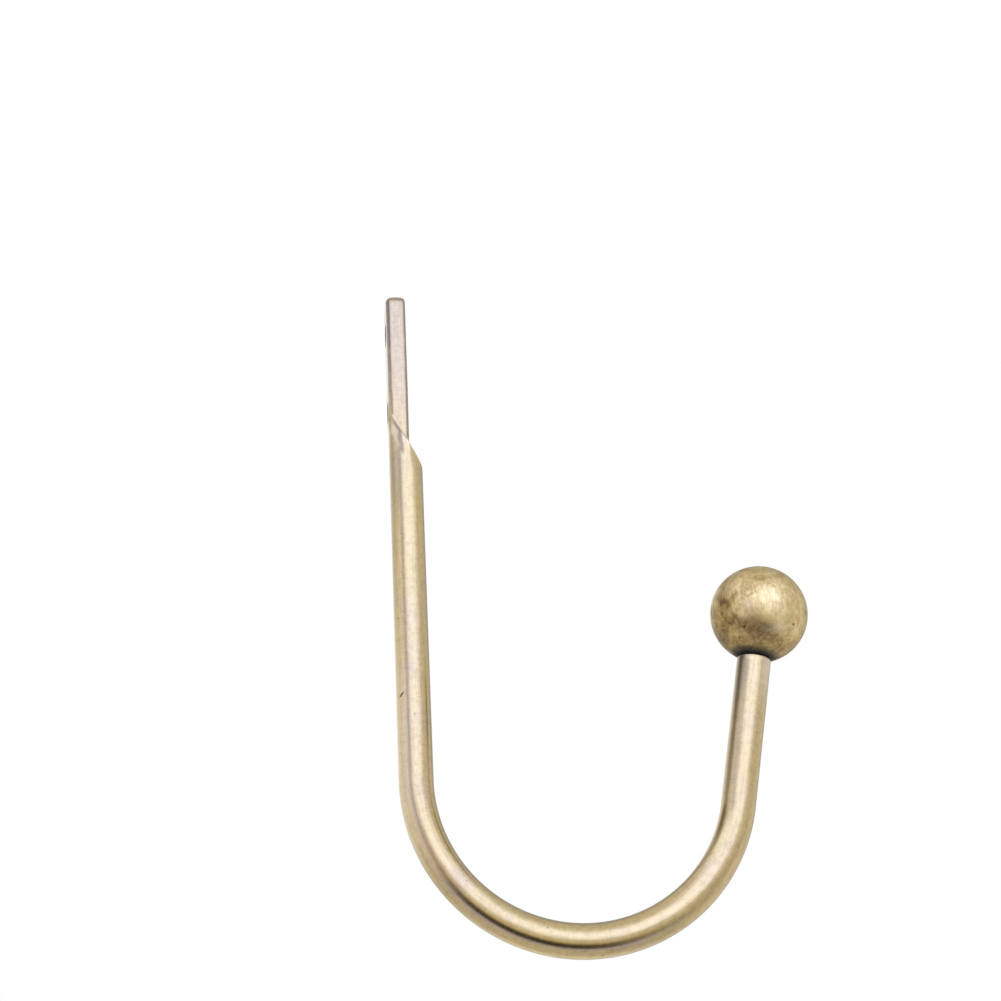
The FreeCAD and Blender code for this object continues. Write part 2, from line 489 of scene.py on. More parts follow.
@dataclass(frozen=True)
class BrushedBrass(Finish):
    """Antique brass brushed round the rod, paler on the forged tongue, with dark rims and a few pits.

    Painted shade darkens the inner side of the arm under the ball and the wall side of the leg under the
    flare, and painted light brightens the outer side of the arm's end and the wall side of the lower leg.
    Places along the rod are lengths from the tongue's end, and places across it go towards the inside of the
    bend.

    Attributes:
        brass: places of the colour clouds from rose through tan to olive.
        tongue: range along the rod over which the pale tongue turns to brass.
        ragged: how far that range wanders.
        arm_end, outer_side: painted light on the outer side of the arm's end, along and across.
        lower_leg, wall_side: painted light on the wall side of the lower leg, along and across.
        upper_arm, under_ball, inner_side: painted shade on the inner side of the arm, along and across.
        under_flare, beside_wall, wall_edge: painted shade on the wall side of the leg, along and across.
        brush_shares: shares of fine and coarse brushing in the streaks.
        roughening: roughness that coarse brushing, nicks, rims and grime with painted shade add.
        heights: height of fine, coarse and drawn lines, mottle, nicks and specks.
        pit_reach: how far a pit reaches into the bar.
    """

    name: str = "brushed_antique_brass"
    relief: float = 2.0e-6
    coat: float = 0.15
    coat_roughness: float = 0.2
    rose: Colour = (0.52, 0.40, 0.24)
    tan: Colour = (0.54, 0.415, 0.215)
    olive: Colour = (0.53, 0.415, 0.2)
    pale: Colour = (0.425, 0.335, 0.22)
    # Dark colour of the rims; it also stands for the painted shade on the sides.
    rim: Colour = (0.235, 0.19, 0.155)
    # Pale colour of the painted highlights and painted light on the rod.
    painted_light: Colour = (0.74, 0.66, 0.6)
    grime: Colour = (0.035, 0.028, 0.02)
    pit: Colour = (0.11, 0.085, 0.055)
    brass: Triple = (0.34, 0.5, 0.66)
    fine: Grain = Grain((0.25, 0.25, 5.0), 2.0, 0.6)
    coarse: Grain = Grain((0.2, 0.2, 1.6), 3.0, 0.6)
    drawn: Grain = Grain((2.2, 2.2, 0.1), 3.0, 0.65)
    mottle: Grain = Grain((0.9, 0.9, 0.7), 4.0, 0.7, 0.3)
    cloud: Grain = Grain((0.16, 0.16, 0.09), 4.0, 0.6, 0.4)
    drift: Grain = Grain((0.3, 0.3, 0.2), 2.0, 0.5)
    speckle: Grain = Grain((1.6, 1.6, 1.6), 3.0, 0.7)
    specks: Span = Span((0.66, 0.74))
    speck_depth: float = 0.35
    tongue: Range = (14.0, 46.0)
    tongue_depth: float = 0.9
    ragged: float = 10.0
    brush_shares: Pair = (0.7, 0.3)
    brushed: Tone = Tone((0.3, 0.62), 0.97, 1.06)
    drawn_tone: Tone = Tone((0.32, 0.56), 0.88, 1.0)
    mottle_tone: Tone = Tone((0.34, 0.58), 0.86, 1.0)
    arm_end: Span = Span((251.0, 264.0), strength=0.42)
    outer_side: Span = Span(fall=(-2.2, -0.6))
    lower_leg: Span = Span((78.0, 112.0), (126.0, 146.0), 0.2)
    wall_side: Span = Span(fall=(-1.9, -0.3))
    upper_arm: Span = Span((222.0, 240.0), strength=0.25)
    under_ball: Span = Span((247.0, 266.0), strength=0.45)
    inner_side: Span = Span((1.3, 2.7))
    under_flare: Span = Span((38.0, 44.0), (49.0, 66.0), 0.36)
    beside_wall: Span = Span((40.0, 46.0), (75.0, 95.0), 0.35)
    wall_edge: Span = Span(fall=(-3.8, -3.0))
    painted_light_depth: float = 0.8
    rim_gaps: Span = Span((0.2, 0.6))
    smooth: float = 0.19
    roughening: tuple[float, ...] = (0.1, 0.12, 0.1, 0.8)
    heights: tuple[float, ...] = (0.7, 0.5, 1.2, 1.5, -4.0, -0.8)
    rod_radius: float = 4.0
    pit_reach: float = 1.5
    pit_edge: Span = Span(fall=(0.3, 1.2))
    pits: tuple[Pit, ...] = (
        Pit(-135.6, 102.5, 0.65, 1.9, -35.0, 0.9),
        Pit(-91.2, 107.4, 0.5, 0.9, 80.0, 0.35),
        Pit(-109.9, 104.7, 0.3, 0.4, 60.0, 0.3),
        Pit(-147.6, 113.4, 0.35, 0.5, 70.0, 0.35),
        Pit(-138.3, 126.8, 0.4, 0.55, 70.0, 0.3),
        Pit(-115.9, 63.2, 0.45, 0.6, 70.0, 0.4),
        Pit(-111.7, 70.0, 0.45, 0.7, 70.0, 0.4),
        Pit(-138.9, 84.0, 0.4, 0.6, 70.0, 0.35),
        Pit(-70.6, 148.8, 0.45, 0.6, 30.0, 0.35),
        Pit(-69.5, 170.4, 0.5, 0.7, 30.0, 0.45),
        Pit(-126.5, 174.5, 0.3, 1.8, 88.0, 0.3),
        Pit(-131.9, 179.0, 0.35, 1.6, 88.0, 0.35),
        Pit(-144.2, 180.7, 0.3, 0.8, 80.0, 0.4),
        Pit(-152.1, 182.7, 0.4, 0.9, 60.0, 0.5),
        Pit(-134.6, 184.4, 0.3, 1.5, 90.0, 0.3),
    )

    def surface(self, nodes: ShaderNodes) -> tuple[Shade, Shade, Shade, Shade]:
        """Return the colour, roughness, height and grime; the brush lines change quickly along the bar."""
        stock, marks = (
            nodes.add("ShaderNodeAttribute", {"attribute_name": layer}, output="Vector")
            for layer in ("stock", "marks")
        )
        rim, painted_light, grime = (nodes.dot(marks, axis) for axis in np.eye(3).tolist())
        inward = nodes.dot(stock, (1.0, 0.0, 0.0))
        along = nodes.dot(stock, (0.0, 0.0, 1.0))
        grains = (self.fine, self.coarse, self.drawn, self.mottle, self.drift)
        fine, coarse, drawn, mottle, drift = (grain.on(stock) for grain in grains)
        speck = self.specks.on(self.speckle.on(stock))
        nick = self._nicks(nodes, stock)
        tones = (self.rose, self.tan, self.olive)
        colour = nodes.ramp(self.cloud.on(stock), list(zip(self.brass, tones)))
        wandering = along + self.ragged * drift
        tongue = 1 - nodes.step(wandering, *(place + self.ragged / 2 for place in self.tongue))
        colour = nodes.mix(self.tongue_depth * tongue, colour, self.pale)
        # Painted light: the outer side of the arm's end is mixed towards the pale colour.
        colour = nodes.mix(self.arm_end.on(along) * self.outer_side.on(inward), colour, self.painted_light)
        streak = self.brushed.on(weighted(self.brush_shares, (fine, coarse)))
        streak = streak * self.drawn_tone.on(drawn) * self.mottle_tone.on(mottle)
        colour = nodes.toned(colour, streak)
        colour = nodes.mix(self.speck_depth * speck, colour, self.pit)
        wallward = self.wall_side.on(inward)
        # Painted light: the wall side of the lower leg is mixed towards the pale colour.
        lit = self.lower_leg.on(along) * wallward
        # Painted highlights and painted light from the marks, mixed towards the pale colour.
        colour = nodes.mix(self.painted_light_depth * painted_light + lit, colour, self.painted_light)
        # Painted shade: the arm's inner side and the leg's wall side are mixed towards the dark rim colour.
        colour = nodes.mix(self._shaded_sides(nodes, along, inward, wallward), colour, self.rim)
        colour = nodes.mix(rim * self.rim_gaps.on(drift), colour, self.rim)
        colour = nodes.mix(grime, colour, self.grime)
        colour = nodes.mix(nick, colour, self.pit)
        roughness = self.smooth + weighted(self.roughening, (coarse, nick, rim, grime))
        height = weighted(self.heights, (fine, coarse, drawn, mottle, nick, speck))
        return colour, roughness, height, grime

    def _shaded_sides(self, nodes: ShaderNodes, along: Shade, inward: Shade, wallward: Shade) -> Shade:
        """Return the painted shade on the sides: the arm's inner side, and the leg's wall side.

        Args:
            nodes: the tree that the shades belong to.
            along: length from the tongue's end.
            inward: place across the bar, towards the inside of the bend.
            wallward: 1 on the wall side of the leg.

        Returns:
            The darkness of the arm's inner side, plus the larger of two on the leg's wall side.
        """
        armward = self.upper_arm.on(along) + self.under_ball.on(along)
        under_flare = self.under_flare.on(along) * wallward
        beside_wall = self.beside_wall.on(along) * self.wall_edge.on(inward)
        return armward * self.inner_side.on(inward) + nodes.larger(under_flare, beside_wall)

    def _nicks(self, nodes: ShaderNodes, stock: Shade) -> Shade:
        """Return the darkness of the pits: 1 less a step of the squared distance in each pit's own sizes."""
        total: Operand = 0.0
        for pit in self.pits:
            turn, tilt = math.radians(pit.turn_deg), math.radians(pit.tilt_deg)
            out = np.array([math.cos(turn), math.sin(turn), 0.0])
            round_bar = np.array([-math.sin(turn), math.cos(turn), 0.0])
            down_bar = np.array([0.0, 0.0, 1.0])
            longer = round_bar * math.cos(tilt) + down_bar * math.sin(tilt)
            shorter = down_bar * math.cos(tilt) - round_bar * math.sin(tilt)
            centre = out * self.rod_radius + down_bar * pit.along
            axes = (longer * 2 / pit.length, shorter * 2 / pit.width, out / self.pit_reach)
            offsets = [nodes.dot(stock, axis.tolist()) - float(centre @ axis) for axis in axes]
            distance = reduce(add, [offset * offset for offset in offsets])
            total = pit.depth * self.pit_edge.on(distance) + total
        return total


@dataclass(frozen=True)
class RubbedBrass(Finish):
    """Antique brass rubbed bright over a dark patina, with fine scratches every way and a few specks.

    Directions are from the ball's centre, and spans over them are of the cosine of the angle from each.

    Attributes:
        wear_places: wear, with its painted light and shade, at which the colour is dark, patina, tan, bright
            and gleaming.
        neck, crevice: towards the arm, and the patina and painted shade round the neck.
        shaded_below, low_side: towards the painted shade on the lower side, and its span.
        shaded_side, left_band, left_low: towards the side with a band of painted shade, the band, and how low
            it starts.
        lit_side, lit_patch, dimmed_away: towards the patch of painted light, the patch itself, and the painted
            shade away from it.
        wear_shares: shares of clouds, patches, scratches and the patch of painted light in the wear.
        heights: height of scratches, patches and specks.
    """

    name: str = "rubbed_antique_brass"
    relief: float = 8.0e-5
    coat: float = 0.15
    coat_roughness: float = 0.3
    dark: Colour = (0.19, 0.122, 0.045)
    patina: Colour = (0.37, 0.25, 0.09)
    tan: Colour = (0.615, 0.46, 0.2)
    bright: Colour = (0.73, 0.575, 0.3)
    gleam: Colour = (0.9, 0.735, 0.4)
    speck: Colour = (0.02, 0.015, 0.01)
    # Colour of the patina and painted shade round the neck.
    grime: Colour = (0.015, 0.012, 0.01)
    wear_places: tuple[float, ...] = (0.3, 0.42, 0.58, 0.72, 0.86)
    centre: Point = (87.032, 0.0, -64.279)
    radius: float = 11.55
    clouds: Grain = Grain((0.16, 0.16, 0.16), 5.0, 0.62, 0.5)
    patches: Grain = Grain((0.42, 0.42, 0.42), 4.0, 0.65, 0.9)
    scratches: Grain = Grain((2.4, 2.4, 0.35), 2.0, 0.6)
    scratch_turns: tuple[Triple, ...] = ((12, 55, 0), (-20, -40, 40), (35, 80, -25))
    neck: Point = (-0.2011, 0.0, -0.9796)
    crevice: Span = Span((0.81, 0.945))
    shaded_below: Point = (-0.42, 0.382, -0.823)
    low_side: Span = Span((0.03, 0.27))
    shaded_side: Point = (-0.995, 0.085, 0.049)
    left_band: Span = Span((0.54, 0.72), (0.82, 0.97), 1.3)
    left_low: Span = Span((-0.18, 0.1))
    dull_depth: float = 0.23
    lit_side: Point = (0.1034, -0.9069, -0.4085)
    lit_patch: Span = Span((0.935, 0.988))
    dimmed_away: Span = Span(fall=(0.6, 0.92), strength=0.13)
    wear_shares: tuple[float, ...] = (0.5, 0.6, 0.25, 0.19)
    shine: Tone = Tone((0.48, 0.68), 0.84, 1.0)
    polish: Tone = Tone((0.45, 0.7), 0.5, 0.36)
    crevice_roughness: float = 0.3
    heights: tuple[float, ...] = (0.12, 0.6, -1.0)
    specks: tuple[Point, ...] = ((5.931, -8.284, -5.442), (-5.746, -8.249, -5.687))
    speck_edge: Span = Span(fall=(0.03, 0.22), strength=0.75)

    def surface(self, nodes: ShaderNodes) -> tuple[Shade, Shade, Shade, Shade]:
        """Return colour, roughness, height, grime: patina clouds rubbed through by scratches, painted light
        and shade.
        """
        place = nodes.add("ShaderNodeTexCoord", output="Object")
        ball = nodes.vector(VectorMaths.ADD, place, [-c * METRES for c in self.centre])
        ball = nodes.vector(VectorMaths.MULTIPLY, ball, (1 / METRES,) * 3)
        clouds = self.clouds.on(ball)
        patches = self.patches.on(ball)
        rubbed = reduce(nodes.larger, [self.scratches.on(ball, turn) for turn in self.scratch_turns])
        ways = (self.neck, self.shaded_below, self.shaded_side, self.lit_side)
        neckward, low, left, lit_side = (nodes.dot(ball, [c / self.radius for c in way]) for way in ways)
        # Painted shade on the lower side and on one side, and painted light on a patch, go into the wear.
        dull = nodes.larger(self.low_side.on(low), self.left_band.on(left) * self.left_low.on(low))
        dulling = nodes.larger(self.dull_depth * dull, self.dimmed_away.on(lit_side))
        wear = weighted(self.wear_shares, (clouds, patches, rubbed, self.lit_patch.on(lit_side))) - dulling
        tones = (self.dark, self.patina, self.tan, self.bright, self.gleam)
        colour = nodes.ramp(wear, list(zip(self.wear_places, tones)))
        colour = nodes.toned(colour, self.shine.on(rubbed))
        # Patina and painted shade: the ball darkens round the neck, where it meets the arm.
        crevice = self.crevice.on(neckward)
        colour = nodes.mix(crevice, colour, self.grime)
        dots = self._dots(nodes, ball)
        colour = nodes.mix(dots, colour, self.speck)
        roughness = self.polish.on(wear) + self.crevice_roughness * crevice
        height = weighted(self.heights, (rubbed, patches, dots))
        return colour, roughness, height, crevice

    def _dots(self, nodes: ShaderNodes, ball: Shade) -> Shade:
        """Return the darkness of the specks: 1 less a step of the squared distance from each."""
        aways = [nodes.vector(VectorMaths.SUBTRACT, ball, speck) for speck in self.specks]
        return reduce(add, [self.speck_edge.on(nodes.dot(away, away)) for away in aways])


# Pieces

@dataclass
class Piece:
    """A piece of the holdback: one closed skin in one finish, which stands for one of the part's nodes."""

    name: str
    node: str
    finish: Finish

    def skin(self) -> Surface:
        """Return the piece's surface."""
        raise NotImplementedError

    def build(self) -> bpy.types.Object:
        """Return the finished piece, riding on the part and standing for its node."""
        piece = self.skin().make(self.name)
        piece.data.materials.append(self.finish.material())
        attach(piece, "root")
        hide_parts(self.node)
        return piece


# The rod

@dataclass(frozen=True)
class Columns:
    """Numbers of columns in the stretches of the rod's outline, counted from the room side."""

    shoulder: int = 4
    nose: int = 20
    rim: int = 5
    flank: int = 10
    corner: int = 9

    @property
    def face(self) -> int:
        """Columns of the room face, and of the wall face."""
        return self.nose + 2 * self.shoulder

    @property
    def side(self) -> int:
        """Columns of one flank with its two rounded edges."""
        return self.rim + self.flank + self.corner

    @property
    def total(self) -> int:
        """Columns all round."""
        return 2 * (self.face + self.side)

    def room(self) -> Array:
        """Column numbers across the room face, both ends included."""
        return np.arange(self.face + 1)

    def wall(self) -> Array:
        """Column numbers across the wall face, both ends included."""
        return self.face + self.side + np.arange(self.face + 1)

    def flanks(self) -> tuple[Array, Array]:
        """Column numbers across each flank, both ends included."""
        first = self.face + np.arange(self.side + 1)
        second = (2 * self.face + self.side + np.arange(self.side + 1)) % self.total
        return first, second


@dataclass(frozen=True)
class Steps:
    """Numbers of steps along the rod's stretches.

    Attributes:
        swell, fine: outlines that the flare swells through, and steps between two of them.
        growing, grown: steps while the tongue's rims grow round, and once they are.
        hole, ring, bore_edge: steps beside a hole, across the face round it, and round its edge.
    """

    straight: int = 39
    bend: int = 120
    arm: int = 27
    below_flare: int = 4
    swell: int = 12
    fine: int = 2
    ramp: int = 12
    growing: int = 6
    grown: int = 5
    hole: int = 16
    ring: int = 8
    bore_edge: int = 4
    between_holes: int = 16
    above_holes: int = 6
    end: int = 12

    @property
    def ridge(self) -> int:
        """Number of the flare's row on its ridge."""
        return self.below_flare + self.fine * self.swell

    @property
    def flare(self) -> tuple[int, ...]:
        """Steps on each leg of the flare's columns."""
        return (self.below_flare, *[self.fine] * self.swell, self.ramp, self.growing, self.grown)


@dataclass(frozen=True)
class Flare:
    """Sizes of the flare from the round bar to the tongue, with the ramp on its room side.

    Attributes:
        wall_z, fall: height of the sloping plane where it starts, at the wall, and its fall per length out.
        ramp_wall_z, ramp_fall: the same of the ramp's plane.
        foot: height on the wall face where the tongue starts.
        wall_drops: depth below the foot, on the wall face, of each outline from the bar up to the tongue.
        below: how far the first outline is below the sloping plane.
        lip: half the thickness of the lip between the flare and the flank.
        rise: height in which the tongue's rims grow round, at the wall, and what is added towards the room.
        grown: share of that height at which they are round.
        sharp_edge: radius of the rims where they start.
        widths_at: heights above the ramp at which the widths of the last three outlines are taken.
        hollow: power of the swell on the wall side.
        gentle: share across the tongue where the gentle swell starts, and the length of its rise.
        flank: place across the tongue where the flank's marks start, and the length of their rise.
    """

    wall_z: float = -15.5
    fall: float = 2.6
    ramp_wall_z: float = -12.30
    ramp_fall: float = 1.65625
    foot: float = -13.4
    wall_drops: tuple[float, ...] = (6.2, 4.2, 0.4, 0.25, 0.1, 0.0)
    below: float = 2.0
    lip: float = 0.15
    rise: Pair = (0.45, 2.05)
    grown: float = 0.6
    sharp_edge: float = 0.15
    widths_at: Triple = (0.0, 1.5, 2.5)
    hollow: float = 2.2
    gentle: Pair = (0.48, 0.3)
    flank: Pair = (0.7, 0.8)


@dataclass(frozen=True)
class FlareWearAndShading:
    """Marks on the flare, as middles and widths or as starts and lengths, in rows.

    Attributes:
        lip, lip_loss: painted highlight on the lip, from the ridge, and the share of it that is lost towards
            the room.
        hollow, hollow_least, hollow_depth: painted light in the hollow, from the bar, its least share, and its
            strength.
        edges: worn edges of the tongue, from the ridge.
        under_lip: grime and painted shade under the lip, from the ridge.
            valley, fold: grime and painted shade in the fold, from the bar, and its place on the gentle side.
        grime: strength of the grime and painted shade.
        leg, leg_depth: length below the flare, in millimetres, that still has painted light, and how much.
    """

    lip: Pair = (3.0, 4.0)
    lip_loss: float = 0.5
    hollow: Pair = (0.0, 14.0)
    hollow_least: float = 0.2
    hollow_depth: float = 0.75
    edges: Pair = (12.0, 5.0)
    under_lip: Pair = (-2.5, 2.0)
    valley: Pair = (8.0, 8.0)
    fold: Pair = (0.3, 0.2)
    grime: float = 0.4
    leg: float = 14.0
    leg_depth: float = 0.15


@dataclass(frozen=True)
class TongueWearAndShading:
    """Marks on the tongue: worn edges, grime, painted light and painted shade.

    Attributes:
        edge, edge_most: height of the hump of wear on the room edges, and the most of it that shows.
        line, line_grime: middle and width of the dark line along the wall edges, and its grime.
        fade, fade_least: height where the wall's marks start, the length of their rise, and their least.
        beside: place across the tongue where the painted light on the wall face ends, and the length of its
            rise.
            middle, edgeward: painted light along the face's middle, and where it starts to rise to the edges.
        hole_rim, bore_shade, clean_rows: dark rim of a hole, painted shade in its bore, and rows free of it.
        hole_grime: distance from a hole's rim where the wall face is clean, and the length of the grime.
        end_rim, end_turn, end_face: wear of the end's rims, the angle over which it rises, and the end's own.
    """

    edge: float = 1.5
    edge_most: float = 0.7
    line: Pair = (0.66, 0.3)
    line_grime: float = 0.3
    fade: Pair = (-12.0, 9.0)
    fade_least: float = 0.1
    beside: Pair = (0.45, -0.25)
    middle: float = 0.8
    edgeward: Pair = (2.6, 1.6)
    hole_rim: float = 0.6
    bore_shade: float = 0.95
    clean_rows: int = 2
    hole_grime: Pair = (0.7, -0.5)
    end_rim: float = 0.5
    end_turn: float = 0.5
    end_face: float = 0.4


@dataclass(frozen=True)
class ArmEnd:
    """The arm's end under the ball.

    Attributes:
        stop: where the plain arm stops, before its end.
        lip_back, lip_in, lip_highlight: the rounded rim's rows: length before the end, depth and painted
            highlight.
        ring: width of the flat ring round the spigot.
        spigot_radius, spigot_length, spigot_chamfer: sizes of the spigot.
        spigot_foot: length of the first row on the spigot.
    """

    stop: float = 0.35
    lip_back: tuple[float, ...] = (0.2, 0.1, 0.03, 0.0)
    lip_in: tuple[float, ...] = (0.05, 0.14, 0.27, 0.38)
    lip_highlight: tuple[float, ...] = (0.5, 1.0, 1.0, 0.4)
    ring: float = 0.3
    spigot_radius: float = 2.5
    spigot_length: float = 8.0
    spigot_chamfer: float = 0.4
    spigot_foot: float = 0.1

    def profile(self, radius: float) -> tuple[Array, Array]:
        """Return the rows' lengths past the arm's end and their radii, from the rim to the spigot's pole."""
        tip = self.spigot_length
        back = -np.array(self.lip_back)
        inner = np.array([0.0, 0.0, self.spigot_foot, tip - self.spigot_chamfer, tip, tip])
        narrowing = np.array([-self.ring, 0.0, 0.0, 0.0, self.spigot_chamfer, self.spigot_radius])
        radii = np.concatenate([radius - np.array(self.lip_in), self.spigot_radius - narrowing])
        return np.concatenate([back, inner]), radii


@dataclass
class HookRod(Piece):
    """The whole rod as one skin carried along the bar: tongue, flare, straight, bend, arm and spigot."""

    name: str = "brushed_hook_rod"
    node: str = "hook_rod"
    finish: Finish = BrushedBrass()
    rod_radius: float = 3.977
    axis_x: float = 4.0
    bend_z: float = -102.55
    bend_radius: float = 37.2
    bend_turn: float = 168.4
    arm_length: float = 35.5
    top_z: float = 19.55
    thickness: float = 4.8
    half_width: float = 5.6
    end_corner: float = 2.5
    end_dome: float = 0.5
    edge: float = 0.8
    wall_edge: float = 1.3
    waist_top: float = -7.35
    waist_slope: float = 0.113
    hole_radius: float = 2.25
    hole_edge: float = 0.2
    hole_z: float = 10.75
    hole_frame: float = 3.4
    soften: float = 0.22
    outline_turns: tuple[int, ...] = (60, 80, 86, 150, 156)
    columns: Columns = Columns()
    steps: Steps = Steps()
    flare: Flare = Flare()
    flare_wear_and_shading: FlareWearAndShading = FlareWearAndShading()
    tongue_wear_and_shading: TongueWearAndShading = TongueWearAndShading()
    arm_end: ArmEnd = ArmEnd()

    def skin(self) -> Surface:
        """Return the rod's surface: the flare first, then what goes down and up from it."""
        surface = Surface()
        shoulder = self._add_flare(surface)
        self._add_straight(surface, shoulder[0])
        self._add_bend(surface)
        self._add_tongue(surface, shoulder[-1])
        return surface

    def _turns(self) -> Array:
        """Return each column's angle round the bar, in radians from the room side."""
        c = self.columns
        half = self.outline_turns
        marks = (-half[1], -half[0], *half, *(360 - turn for turn in reversed(half[1:])))
        counts = (c.shoulder, c.nose, c.shoulder, c.rim, c.flank, c.corner, c.face, c.corner, c.flank, c.rim)
        return np.radians(np.concatenate([run(a, b, n) for a, b, n in zip(marks, marks[1:], counts)]))

    def _round_outline(self) -> Array:
        """Return the bar's outline: the axis plus the radius times the cosine and sine of each turn."""
        turn = self._turns()
        x = self.axis_x + self.rod_radius * np.cos(turn)
        return np.stack([x, self.rod_radius * np.sin(turn)], axis=-1)

    def _half_width(self, z: float) -> float:
        """Return the tongue's half width at a height: it tapers evenly below waist_top."""
        return self.half_width - self.waist_slope * max(self.waist_top - z, 0.0)

    def _ramp_z(self, x: Union[float, Array]) -> Union[float, Array]:
        """Return the height of the ramp's plane at places out from the wall."""
        return self.flare.ramp_wall_z - self.flare.ramp_fall * x

    def _back_outline(self, rim: float, room_half: float, wall_half: float) -> list[Array]:
        """Return the stretches from the flank's start round the wall side to the other flank's end.

        Args:
            rim: how far the flanks stop short of the room face.
            room_half: half the width at the room side of the flanks.
            wall_half: half the width at their wall side.

        Returns:
            Five stretches of plan points.
        """
        c, hw, e = self.columns, wall_half, self.wall_edge
        front = self.thickness - rim
        return [
            run((front, room_half), (e, hw), c.flank),
            bow((e, hw - e), e, 90, 180, c.corner),
            run((0, hw - e), (0, e - hw), c.face),
            bow((e, e - hw), e, 180, 270, c.corner),
            run((e, -hw), (front, -room_half), c.flank),
        ]

    def _forged_outline(self) -> Array:
        """Return the outline in the ramp's plane: round nose, sloping shoulders, flat flanks and back."""
        c, t, e = self.columns, self.thickness, self.edge
        hw = self._half_width(self._ramp_z(t))
        nose_turn = self.outline_turns[0]
        nose = bow((self.axis_x, 0), self.rod_radius, -nose_turn, nose_turn, c.nose)
        left = nose[0]
        right = left * (1, -1)
        stretches = [run((t, -hw), left, c.shoulder), nose, run(right, (t, hw), c.shoulder)]
        stretches += [run((t, hw), (t - e, hw), c.rim)]
        stretches += self._back_outline(e, hw, self._half_width(self.flare.foot))
        stretches += [run((t - e, -hw), (t, -hw), c.rim)]
        return np.concatenate(stretches)

    def _tongue_outline(self, rim: float, room_z: float = 0.0, wall_z: float = 0.0) -> Array:
        """Return the tongue's outline: a rectangle whose two room-side corners have the radius rim.

        Args:
            rim: radius of the room-side corners.
            room_z: height of the outline's room side, which sets its width there.
            wall_z: height of its wall side.

        Returns:
            Plan points, one for each column.
        """
        c, t = self.columns, self.thickness
        hw, wall_half = self._half_width(room_z), self._half_width(wall_z)
        stretches = [run((t, rim - hw), (t, hw - rim), c.face)]
        stretches += [bow((t - rim, hw - rim), rim, 0, 90, c.rim)]
        stretches += self._back_outline(rim, hw, wall_half)
        stretches += [bow((t - rim, rim - hw), rim, 270, 360, c.rim)]
        return np.concatenate(stretches)

    def _wallness(self) -> Array:
        """Return 1 on the wall face, 0 on the flanks and room face, and a rise over the corners between."""
        c = self.columns
        counts = (c.face + c.rim + c.flank, c.corner, c.face, c.corner, c.flank + c.rim)
        ends = ((0, 0), (0, 1), (1, 1), (1, 0), (0, 0))
        return np.concatenate([run(a, b, n) for (a, b), n in zip(ends, counts)])

    def _stock(self, points: Array) -> Array:
        """Return stock places above the bend, where the bar is straight."""
        return np.stack([points[..., 0] - self.axis_x, points[..., 1], self.top_z - points[..., 2]], axis=-1)

    def _rimness(self, points: Array) -> Array:
        """Return how worn the tongue's long edges are at rows of points of all columns.

        On the room edges the wear is the sine of half a turn across the edge, cut off at the top. On the wall
        edges it is the dark line.
        """
        c, w = self.columns, self.tongue_wear_and_shading
        worn = np.minimum(w.edge * np.sin(np.pi * np.arange(c.rim) / c.rim), w.edge_most)
        room = np.concatenate([np.zeros(c.face), worn, np.zeros(c.total - c.face - 2 * c.rim), worn])
        return room + self._wall_line(points)

    def _wall_line(self, points: Array) -> Array:
        """Return how dark the line along the wall edges is at points: a hump across the tongue."""
        return hump(points[..., 0], *self.tongue_wear_and_shading.line) * self._wall_fade(points)

    def _wall_light(self, points: Array) -> Array:
        """Return the painted light on the wall face at points: most towards its edges, and fading beside the
        line.
        """
        w = self.tongue_wear_and_shading
        edgeward = climb(np.abs(points[..., 1]), *w.edgeward)
        level = w.middle + (1 - w.middle) * edgeward
        return climb(points[..., 0], *w.beside) * level * self._wall_fade(points)

    def _wall_fade(self, points: Array) -> Array:
        """Return the strength of the marks on the wall side: it falls evenly towards the flare."""
        return np.maximum(climb(points[..., 2], *self.tongue_wear_and_shading.fade), self.tongue_wear_and_shading.fade_least)

    def _gentle(self) -> Array:
        """Return how gently each column of the flare swells: 0 towards the wall, 1 towards the room."""
        return climb(self._forged_outline()[:, 0] / self.thickness, *self.flare.gentle)

    def _flank_share(self) -> Array:
        """Return 1 on the columns of the flanks, 0 on the others, and a rise beside the wall edges."""
        share = (1 - self._wallness()) * climb(self._forged_outline()[:, 0], *self.flare.flank)
        share[self.columns.room()] = 0.0
        return share

    def _add_flare(self, surface: Surface) -> Array:
        """Add the flare and the ramp, and return their rows from the bar up to the tongue."""
        rows = rounded_run(self._flare_controls(), self.steps.flare, self.soften)
        surface.add(rows, self._stock(rows), self._flare_marks(rows), closed=True)
        return rows

    def _flare_controls(self) -> Array:
        """Return the outlines that the flare's columns pass through, from the bar up.

        Each column goes up the bar to the flare's sloping plane, swells to the forged outline in the ramp's
        plane, runs along the ramp to the tongue's face, and up the tongue while its rims grow round. Its
        swell at a share t of the flare's height is t to the power hollow on the wall side, and
        3 t t - 2 t t t on the room side, so the flare is a hollow under a lip near the wall and a long bulge
        near the room.
        """
        f = self.flare
        wall = self._wallness()
        bar, forged = self._round_outline(), self._forged_outline()
        corner_z = self._ramp_z(self.thickness)
        rims = (f.sharp_edge, self.edge, self.edge)
        sharp, grown, full = (
            self._tongue_outline(rim, corner_z + above, f.foot) for rim, above in zip(rims, f.widths_at)
        )
        bar_drop, start_drop, ridge_drop, sharp_drop, grown_drop, full_drop = f.wall_drops

        def level(outline: Array, plane_z: Array, drop: float) -> Array:
            """Return an outline at a sloping height, brought to an even height on the wall face."""
            height = plane_z * (1 - wall) + (f.foot - drop) * wall
            return np.concatenate([outline, height[:, None]], axis=1)

